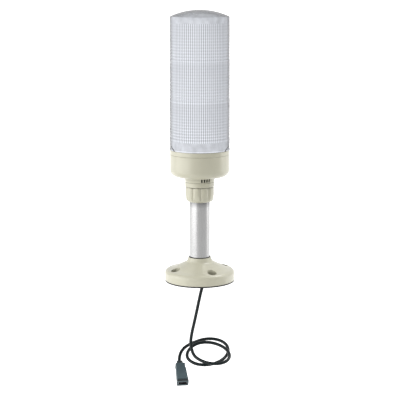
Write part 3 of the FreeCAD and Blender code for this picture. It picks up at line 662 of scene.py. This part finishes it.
@dataclass(frozen=True)
class MilkyPlastic(Finish):
    """Milky translucent plastic that spreads light.

    Attributes:
        through: share of the light that passes.
        roughness: middle roughness.
        uneven: how far it varies, each way.
        cloud: size of the clouds in the plastic.
        clouds: the darkest and the lightest cloud.
        grain: size of the grain.
        depth: height of the grain.
        relief: share of that height that shows.
        ior: refractive index.
    """

    through: float = 0.35
    roughness: float = 0.5
    uneven: float = 0.06
    cloud: float = 10 * MM
    clouds: Pair = (0.97, 1.02)
    grain: float = 0.6 * MM
    depth: float = 0.02 * MM
    relief: float = 0.4
    ior: float = 1.45

    def cover(self, g: Graph) -> None:
        """Feed the shader with soft clouds and a fine grain.

        Args:
            g: the material's graph.
        """
        fine = g.noise(self.grain, 2.0)
        g.shade(Base_Color=self.clouded(g, self.cloud, *self.clouds),
                Roughness=g.spread(fine, self.roughness - self.uneven,
                                   self.roughness + self.uneven),
                Normal=g.bump(fine, self.depth, self.relief), IOR=self.ior,
                Transmission_Weight=self.through)


@dataclass(frozen=True)
class DrawnMetal(Finish):
    """Metal with fine lines along the direction it was drawn, rolled or turned.

    Attributes:
        roughness: middle roughness; it varies down by smoother and up by rougher.
        lines: how the noise is squeezed along X, Y and Z to draw lines.
        line_width: width of a line.
        depth: depth of a line.
        relief: share of that depth that shows.
        cloud: size of the clouds on the metal.
        clouds: the darkest and the lightest cloud.
        smoother: how far the roughness falls below its middle.
        rougher: how far it rises above it.
        anisotropic: how far the gloss is drawn out across the lines.
    """

    roughness: float
    lines: Point = (1.0, 1.0, 0.01)
    line_width: float = 0.35 * MM
    depth: float = 0.012 * MM
    relief: float = 0.5
    cloud: float = 12 * MM
    clouds: Pair = (0.97, 1.02)
    smoother: float = 0.05
    rougher: float = 0.07
    anisotropic: float = 0.4

    def cover(self, g: Graph) -> None:
        """Feed the shader with drawn lines and faint clouds.

        Args:
            g: the material's graph.
        """
        line = g.noise(self.line_width, 3.0, g.stretched(self.lines))
        tone = self.clouded(g, self.cloud, *self.clouds)
        g.shade(Base_Color=self.marks_and_painted_shade(g, tone),
                Roughness=g.spread(line, self.roughness - self.smoother,
                                   self.roughness + self.rougher),
                Normal=g.bump(line, self.depth, self.relief), Metallic=1.0,
                Anisotropic=self.anisotropic)


@dataclass(frozen=True)
class PoleMetal(DrawnMetal):
    """Drawn metal with painted shade just under the clamp nut, standing in for its shadow
    and dark reflection.

    Attributes:
        nut_shade_span: heights at which the painted shade begins and is full.
        nut_shade_tone: tone of the full painted shade.
    """

    nut_shade_span: Pair = (76.5 * MM, 85.5 * MM)
    nut_shade_tone: float = 0.22

    def marks_and_painted_shade(self, g: Graph, tone: Socket) -> Socket:
        """Paint shade on the tone just under the clamp nut."""
        height = g.split(g.coords)["Z"]
        # painted shade and dark reflection of the clamp nut, darkest nearest the nut
        return g.scale(tone, g.between(height, *self.nut_shade_span, 1.0, self.nut_shade_tone))


@dataclass(frozen=True)
class Rubber(Finish):
    """Matt or satin rubber with a fine skin.

    Attributes:
        roughness: middle roughness.
        uneven: how far it varies, each way.
        gloss: strength of the reflections.
        cloud: size of the clouds on the rubber.
        clouds: the darkest and the lightest cloud.
        grain: size of the skin's grain.
        depth: height of the grain.
        relief: share of that height that shows.
        ior: refractive index.
    """

    roughness: float
    uneven: float = 0.08
    gloss: float = 0.5
    cloud: float = 6 * MM
    clouds: Pair = (0.85, 1.2)
    grain: float = 0.4 * MM
    depth: float = 0.03 * MM
    relief: float = 0.5
    ior: float = 1.52

    def cover(self, g: Graph) -> None:
        """Feed the shader with clouds and a fine skin.

        Args:
            g: the material's graph.
        """
        fine = g.noise(self.grain, 3.0)
        g.shade(Base_Color=self.clouded(g, self.cloud, *self.clouds),
                Roughness=g.spread(fine, self.roughness - self.uneven,
                                   self.roughness + self.uneven),
                Normal=g.bump(fine, self.depth, self.relief), IOR=self.ior,
                Specular_IOR_Level=self.gloss)


@dataclass(frozen=True)
class CircuitBoard(Finish):
    """Solder mask over copper: tracks show as a faint relief.

    Attributes:
        track: colour over a track.
        track_pitch: distance from track to track.
        track_edge: where, from a track's middle, its edge begins and ends.
        depth: height of a track.
        relief: share of that height that shows.
        cloud: size of the duller patches.
        roughness: lowest and highest roughness.
        coat: weight of the mask's gloss.
        coat_roughness: roughness of that gloss.
    """

    track: Colour
    track_pitch: float = 3 * MM
    track_edge: Pair = (0.35, 0.5)
    depth: float = 0.03 * MM
    relief: float = 0.5
    cloud: float = 2 * MM
    roughness: Pair = (0.3, 0.4)
    coat: float = 0.3
    coat_roughness: float = 0.15

    def cover(self, g: Graph) -> None:
        """Feed the shader with straight-edged tracks.

        Args:
            g: the material's graph.
        """
        cells = g.node("TexVoronoi", Vector=g.coords, Scale=1.0 / self.track_pitch)
        cells.distance = "MANHATTAN"
        tracks = cells.outputs["Distance"]
        g.shade(Base_Color=g.ramp(tracks, self.colour, self.track, *self.track_edge),
                Roughness=g.spread(g.noise(self.cloud), *self.roughness),
                Normal=g.bump(tracks, self.depth, self.relief), Coat_Weight=self.coat,
                Coat_Roughness=self.coat_roughness)


def finishes() -> dict[Slot, Finish]:
    """List the finish of every slot.

    Returns:
        One finish for each slot.
    """
    even = (1.0, 1.0, 1.0)
    return {
        Slot.IVORY: MouldedPlastic("ivory_plastic", (0.458, 0.444, 0.344),
                                   roughness=0.40, shade=0.25, coat=0.6),
        Slot.CLEAR: RibbedCover("frosted_polycarbonate", (0.755, 0.778, 0.832)),
        Slot.WHITE_OPTIC: MouldedPlastic("white_optic_plastic", (0.86, 0.87, 0.90),
                                         roughness=0.35, glow=0.1),
        Slot.MILKY: MilkyPlastic("milky_plastic", (0.86, 0.87, 0.91)),
        Slot.ALUMINIUM: PoleMetal("drawn_aluminium", (0.45, 0.45, 0.45),
                                  roughness=0.27),
        Slot.ZINC: DrawnMetal("zinc_plated_steel", (0.62, 0.63, 0.65), roughness=0.32,
                              lines=even, line_width=1.5 * MM),
        Slot.RUBBER: Rubber("seal_rubber", (0.010, 0.010, 0.011), roughness=0.7),
        Slot.CATCH: MouldedPlastic("catch_plastic", (0.02, 0.02, 0.023),
                                   roughness=0.5),
        Slot.BOARD_WHITE: CircuitBoard("white_lamp_board", (0.72, 0.73, 0.74),
                                       track=(0.78, 0.79, 0.80)),
        Slot.BOARD_GREEN: CircuitBoard("green_control_board", (0.02, 0.12, 0.05),
                                       track=(0.05, 0.2, 0.09)),
        Slot.LAMP: MilkyPlastic("lamp_resin", (0.86, 0.80, 0.42), through=0.2,
                                roughness=0.25),
        Slot.COMPONENT: MouldedPlastic("component_resin", (0.018, 0.018, 0.02),
                                       roughness=0.45),
        Slot.RIBBON: MouldedPlastic("ribbon_sleeve", (0.27, 0.28, 0.29),
                                    roughness=0.5),
        Slot.CONNECTOR: MouldedPlastic("terminal_plastic", (0.70, 0.68, 0.60),
                                       roughness=0.45),
        Slot.JACKET: Rubber("cable_jacket", (0.007, 0.012, 0.013), roughness=0.34,
                            gloss=0.2),
        Slot.PLUG: SocketPlastic("socket_plastic", (0.054, 0.086, 0.098),
                                 roughness=0.5, grain=0.35 * MM, depth=0.03 * MM,
                                 mottling=0.12, shade=0.75),
        Slot.STEEL: DrawnMetal("bright_sheet_steel", (0.50, 0.50, 0.52), roughness=0.3,
                               lines=even, line_width=0.8 * MM),
        Slot.BRASS: DrawnMetal("contact_brass", (0.80, 0.58, 0.25), roughness=0.25,
                               lines=even, line_width=0.8 * MM),
    }


@dataclass
class Palette:
    """Makes each slot's material once and hands it out.

    Attributes:
        recipes: the finish of each slot.
        made: the materials made so far.
    """

    recipes: dict[Slot, Finish] = field(default_factory=finishes)
    made: dict[Slot, bpy.types.Material] = field(default_factory=dict)

    def material(self, slot: Slot) -> bpy.types.Material:
        """Find a slot's material, or make it.

        Args:
            slot: the slot.

        Returns:
            Its material.
        """
        if slot not in self.made:
            self.made[slot] = self.recipes[slot].build()
        return self.made[slot]

    def paint(self, obj: bpy.types.Object, slot: Slot) -> None:
        """Put a slot's material on every material slot of an object.

        Args:
            obj: the object.
            slot: the slot that its finish comes from.
        """
        material = self.material(slot)
        if not obj.material_slots:
            obj.data.materials.append(material)
        for held in obj.material_slots:
            held.material = material


# ------------------------------------------------------------------ sub-assemblies
@dataclass
class Assembly(ABC):
    """Pieces that are made and dressed together.

    Attributes:
        palette: where their materials come from.
    """

    palette: Palette

    @abstractmethod
    def build(self) -> None:
        """Make and dress the pieces."""

    def dress(self, slot: Slot, *nodes: str) -> None:
        """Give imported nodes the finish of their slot.

        Args:
            slot: the slot that the nodes' solids have in the record.
            nodes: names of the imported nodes.
        """
        for node in nodes:
            self.palette.paint(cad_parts[node], slot)
            LOG.info("%s: %s", node, slot.value)

    def adopt(self, obj: bpy.types.Object, slot: Slot,
              body: str = TOWER) -> bpy.types.Object:
        """Finish a new piece and let it ride on a body.

        Args:
            obj: the new piece.
            slot: the slot that it takes its finish from.
            body: the body that carries it.

        Returns:
            The same piece.
        """
        self.palette.paint(obj, slot)
        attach(obj, body)
        LOG.info("%s: new piece on %s, %s", obj.name, body, slot.value)
        return obj


@dataclass
class PanelFoot(Assembly):
    """Flange, gasket, pole and what holds them together."""

    def build(self) -> None:
        """Dress the foot."""
        self.dress(Slot.IVORY, "flange")
        self.dress(Slot.RUBBER, "flange_gasket", "collar_seal", "cable_bush")
        self.dress(Slot.ALUMINIUM, "pole")
        self.dress(Slot.ZINC, "pole_locknut")


@dataclass
class Head(Assembly):
    """Housing, clamp nut, cover and what seals them.

    Attributes:
        bead_radius: radius of the bead's ring.
        bead_z: height of the bead.
        bead_half: half its width and half its height.
        bead_parts: faces around the ring and around the bead.
    """

    bead_radius: float = 30.35 * MM
    bead_z: float = 136.32 * MM
    bead_half: Pair = (0.28 * MM, 0.28 * MM)
    bead_parts: tuple[int, int] = (240, 14)

    def bead(self) -> bpy.types.Object:
        """Make the thin soft bead under the cover's lip, which hides the seam.

        Returns:
            The bead.
        """
        grid = bmesh.new()
        around, across = self.bead_parts
        rows = []
        for i in range(around):
            turn = math.tau * i / around
            row = []
            for j in range(across):
                way = math.tau * j / across
                out = self.bead_radius + self.bead_half[0] * math.cos(way)
                up = self.bead_z + self.bead_half[1] * math.sin(way)
                row.append(grid.verts.new((out * math.cos(turn),
                                           out * math.sin(turn), up)))
            rows.append(row)
        for row, after in zip(rows, rows[1:] + rows[:1]):
            for j in range(across):
                k = (j + 1) % across
                grid.faces.new((row[j], after[j], after[k], row[k])).smooth = True
        mesh = bpy.data.meshes.new("lip_bead")
        grid.to_mesh(mesh)
        grid.free()
        return put("lip_bead", mesh)

    def build(self) -> None:
        """Dress the head and add the bead."""
        self.dress(Slot.IVORY, "housing", "clamp_nut")
        self.dress(Slot.CATCH, "lens_catches", "clamp_ring")
        self.dress(Slot.RUBBER, "lens_seal", "sound_screen")
        self.dress(Slot.CLEAR, "lens_cover")
        # the bead takes the cover's finish, inside the lip's painted highlight
        self.adopt(self.bead(), Slot.CLEAR)


@dataclass
class LightStack(Assembly):
    """Trays, sleeves, lamp boards and lamps inside the cover.

    Attributes:
        tiers: number of lamp tiers.
    """

    tiers: int = 3

    def build(self) -> None:
        """Dress the stack from its base to its tie nut."""
        self.dress(Slot.WHITE_OPTIC, "lamp_base")
        for tier in range(1, self.tiers + 1):
            if tier < self.tiers:
                self.dress(Slot.WHITE_OPTIC, f"tier_tray_{tier}")
            self.dress(Slot.MILKY, f"tier_diffuser_{tier}")
            self.dress(Slot.BOARD_WHITE, f"led_board_{tier}")
            self.dress(Slot.LAMP, f"leds_{tier}")
        self.dress(Slot.WHITE_OPTIC, "top_plate")
        self.dress(Slot.ZINC, "tie_rod", "tie_nut", "mast_screws")
        self.dress(Slot.RIBBON, "tier_ribbon")


@dataclass
class ControlBoard(Assembly):
    """The board in the housing, with the sounder and the cable's terminal."""

    def build(self) -> None:
        """Dress the board."""
        self.dress(Slot.BOARD_GREEN, "control_board")
        self.dress(Slot.ZINC, "board_screws")
        self.dress(Slot.COMPONENT, "board_chips", "sounder")
        self.dress(Slot.CONNECTOR, "cable_terminal")
        self.dress(Slot.JACKET, "inner_cable")


@dataclass(frozen=True)
class Turn:
    """One slanting elliptic turn of the cable, in the coil's tilted plane.

    Attributes:
        across: its centre across the plane, in millimetres, as are the next four.
        slope: its centre up the plane's slope.
        long_half: half its length.
        short_half: half its width.
        height: its height over the plane.
        long_deg: direction of its length in the plane, in degrees.
    """

    across: float
    slope: float
    long_half: float
    short_half: float
    height: float
    long_deg: float

    def point(self, degrees: float, outward: float) -> Vector:
        """Place on the turn.

        Args:
            degrees: angle about the turn's centre.
            outward: how far a control point lies outside the curve.

        Returns:
            Across, along the slope, and height over the plane.
        """
        lean = math.radians(self.long_deg)
        way = math.radians(degrees) - lean
        a = outward * self.long_half * math.cos(way)
        b = outward * self.short_half * math.sin(way)
        return Vector((self.across + a * math.cos(lean) - b * math.sin(lean),
                       self.slope + a * math.sin(lean) + b * math.cos(lean),
                       self.height))


@dataclass
class Cable(Assembly):
    """Free cable: a slanting drop, two springy turns and a tail to the socket.

    Attributes:
        diameter: thickness of the jacket.
        length: length from the flange's underside to the socket's relief; not used.
        drop: control points of the drop, in millimetres.
        tail: control points of the tail, in millimetres.
        centre: centre of the coil, in millimetres.
        tilt: how far the coil's plane leans to the front, in degrees.
        start: angle at which the first turn begins, in degrees.
        end: angle at which the second turn ends, in degrees.
        count: control points of the two turns.
        blend: angles between which the first turn passes into the second.
        first: the first turn.
        second: the second turn.
        order: order of the curve.
        steps: pieces of the curve from one control point to the next.
        roundness: Blender's bevel resolution of the jacket.
    """

    diameter: float = 3.4 * MM
    length: float = 0.342
    drop: tuple[Point, ...] = (
        (3.2, 0, 0), (3.0, 0, -5.5), (1.3, 0, -12.5), (-1.0, 0, -23), (-3.3, 0, -34.5),
        (-5.9, 0, -46.5), (-8.3, 0, -56.9), (-9.8, 0.2, -68.1))
    tail: tuple[Point, ...] = (
        (-14.7, 9.9, -73.7), (-19.9, 4.1, -78.4), (-21.4, -2.1, -83.5),
        (-21.1, -5.2, -86.0))
    centre: Point = (0, 0, -77.2)
    tilt: float = 22.0
    start: float = 196.0
    end: float = 844.0
    count: int = 28
    blend: Pair = (480.0, 570.0)
    first: Turn = Turn(11.4, -3.9, 20.9, 15.9, 2.0, -34.4)
    second: Turn = Turn(7.8, 3.2, 23.3, 20.3, -2.0, 41.5)
    order: int = 3
    steps: int = 10
    roundness: int = 6

    def turns(self) -> list[Vector]:
        """Lay out the two turns.

        Returns:
            Their control points, in millimetres.
        """
        tilt = math.radians(self.tilt)
        slope = Vector((0, math.cos(tilt), math.sin(tilt)))
        normal = Vector((0, -math.sin(tilt), math.cos(tilt)))
        step = (self.end - self.start) / (self.count - 1)
        outward = 1 / math.cos(math.radians(step / 2))
        points = []
        for i in range(self.count):
            angle = self.start + i * step
            share = (angle - self.blend[0]) / (self.blend[1] - self.blend[0])
            share = min(max(share, 0.0), 1.0)
            share = share * share * (3 - 2 * share)
            place = self.first.point(angle, outward).lerp(
                self.second.point(angle, outward), share)
            points.append(Vector(self.centre) + Vector((place.x, 0, 0))
                          + slope * place.y + normal * place.z)
        return points

    def line(self) -> bpy.types.Object:
        """Draw the cable as one smooth bevelled curve.

        Returns:
            The cable.
        """
        curve = bpy.data.curves.new("cable", "CURVE")
        curve.dimensions = "3D"
        curve.bevel_depth = self.diameter / 2
        curve.bevel_resolution = self.roundness
        curve.use_fill_caps = True
        curve.resolution_u = self.steps
        points = [*map(Vector, self.drop), *self.turns(), *map(Vector, self.tail)]
        spline = curve.splines.new("NURBS")
        spline.points.add(len(points) - 1)
        for held, point in zip(spline.points, points):
            held.co = (*(point * MM), 1.0)
        spline.order_u = self.order
        spline.use_endpoint_u = True
        return put("cable", curve)

    def build(self) -> None:
        """Make the cable and dress the socket on its end."""
        cable = self.adopt(self.line(), Slot.JACKET)
        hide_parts("cord_drop", "cord_coil", "cord_tail")
        self.dress(Slot.PLUG, "plug_relief", "plug_body")
        self.dress(Slot.STEEL, "plug_shell")
        self.dress(Slot.COMPONENT, "plug_tongue")
        self.dress(Slot.BRASS, "plug_contacts")


# ------------------------------------------------------------------ studio
@dataclass(frozen=True)
class SoftBox:
    """An area light that is aimed at a point.

    Attributes:
        name: the light's name.
        place: where it stands.
        aim: the point that it is turned to.
        size: its width.
        power: its power in watts.
        tall: its height as a share of its width.
        nodes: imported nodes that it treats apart.
        reach: whether it is kept off them or meant for them only.
    """

    name: str
    place: Point
    aim: Point
    size: float
    power: float
    tall: float = 1.0
    nodes: tuple[str, ...] = ("lens_cover",)
    reach: Reach = Reach.KEEP_OFF

    def flag(self, light: bpy.types.Object) -> None:
        """Keep the light off the named nodes, or give it to them only.

        Args:
            light: the light.
        """
        held = bpy.data.collections.new(f"{self.name}_nodes")
        for node in self.nodes:
            held.objects.link(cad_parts[node])
        light.light_linking.receiver_collection = held
        for one in held.collection_objects:
            one.light_linking.link_state = self.reach.value

    def build(self) -> None:
        """Make the light."""
        data = bpy.data.lights.new(self.name, "AREA")
        data.shape = "RECTANGLE"
        data.size, data.size_y = self.size, self.size * self.tall
        data.energy = self.power
        obj = put(self.name, data)
        obj.location = self.place
        way = Vector(self.aim) - Vector(self.place)
        obj.rotation_euler = way.to_track_quat("-Z", "Y").to_euler()
        self.flag(obj)


def soft_boxes() -> tuple[SoftBox, ...]:
    """List the studio's lights.

    Returns:
        The lights, in the order in which they are built.
    """
    return (
        SoftBox("key", (-1.5, -0.62, 0.4), (0, 0, 0.1), size=2.2, power=22.0,
                tall=0.62),
        SoftBox("rim", (1.4, 0.25, 0.3), (0, 0, 0.1), size=0.5, power=2.5, tall=2.2),
        SoftBox("top", (0.8, 0.2, 1.3), (0, 0, 0.0), size=0.7, power=10.0),
        SoftBox("front", (-0.75, -2.2, 0.5), (0, 0, 0.2), size=1.0, power=28.0,
                reach=Reach.ONLY_THESE),
        SoftBox("foot", (-0.4, -1.6, 0.5), (0, 0, 0), size=0.8, power=3.2,
                nodes=("flange",), reach=Reach.ONLY_THESE),
    )


@dataclass
class Studio:
    """Pale floor, soft lights and the camera.

    Attributes:
        floor_z: height of the floor.
        floor_radius: radius of the floor.
        floor_sides: sides of its outline.
        paper: darkest and lightest grey of the floor.
        paper_cloud: size of the clouds of grey.
        paper_roughness: roughness of the floor.
        glow: strength of the floor's own light behind the stack light.
        glow_range: distances behind it where that light begins and is full.
        front: strength of the light from the front.
        behind: strength of the light from behind.
        turn: where, from the front (-1) to the back (1), the one is met and the other.
        camera_place: where the camera stands.
        camera_down: how far it looks down, in degrees.
        camera_lens: its focal length in millimetres.
        camera_sensor: width of its sensor in millimetres.
        camera_clip: nearest and farthest distance that it sees.
        lights: the soft boxes.
    """

    floor_z: float = -0.3
    floor_radius: float = 30.0
    floor_sides: int = 64
    paper: Pair = (0.90, 0.93)
    paper_cloud: float = 0.4
    paper_roughness: float = 0.9
    glow: float = 0.6
    glow_range: Pair = (0.1, 0.5)
    front: float = 0.42
    behind: float = 1.0
    turn: Pair = (-1.0, 0.5)
    camera_place: Point = (0.0003, -1.325, 0.32285)
    camera_down: float = 10.23
    camera_lens: float = 118.8
    camera_sensor: float = 36.0
    camera_clip: Pair = (0.05, 50.0)
    lights: tuple[SoftBox, ...] = field(default_factory=soft_boxes)

    def floor(self) -> None:
        """Lay a wide pale floor that glows a little behind the stack light."""
        mesh = bpy.data.meshes.new("floor")
        grid = bmesh.new()
        bmesh.ops.create_circle(grid, cap_ends=True, radius=self.floor_radius,
                                segments=self.floor_sides)
        grid.to_mesh(mesh)
        grid.free()
        obj = put("floor", mesh)
        obj.location.z = self.floor_z
        g = Graph(bpy.data.materials.new("floor_paper"))
        low, high = ((grey, grey, grey) for grey in self.paper)
        back = g.split(g.coords)["Y"]
        g.shade(Base_Color=g.ramp(g.noise(self.paper_cloud, 2.0), low, high),
                Roughness=self.paper_roughness, Emission_Color=WHITE,
                Emission_Strength=g.between(back, *self.glow_range, 0.0, self.glow))
        mesh.materials.append(g.owner)

    def world(self) -> None:
        """Light all round: bright behind and at the sides, dimmer in front."""
        world = bpy.data.worlds.new("studio")
        g = Graph(world, "Background", "Generated")
        lit = g.between(g.split(g.coords)["Y"], *self.turn, self.front, self.behind)
        seen = g.node("LightPath").outputs["Is Camera Ray"]
        g.shade(Color=WHITE, Strength=g.reckon(Operation.LARGER, lit, seen))
        bpy.context.scene.world = world

    def camera(self) -> None:
        """Set up the camera, which looks at the front from a little above."""
        data = bpy.data.cameras.new("camera")
        data.lens = self.camera_lens
        data.sensor_width = self.camera_sensor
        data.clip_start, data.clip_end = self.camera_clip
        obj = put("camera", data)
        obj.location = self.camera_place
        obj.rotation_euler = (math.radians(90 - self.camera_down), 0, 0)
        bpy.context.scene.camera = obj

    def build(self) -> None:
        """Make the studio."""
        self.camera()
        self.floor()
        self.world()
        for light in self.lights:
            light.build()
        bpy.context.scene.view_settings.view_transform = "Standard"


def main() -> None:
    """Build the studio and every sub-assembly, and report each."""
    logging.basicConfig(level=logging.INFO, format="%(name)s %(message)s")
    Studio().build()
    palette = Palette()
    for kind in (Cable, PanelFoot, Head, LightStack, ControlBoard):
        kind(palette).build()
        LOG.info("%s done", kind.__name__)


if __name__ == "__main__":
    main()
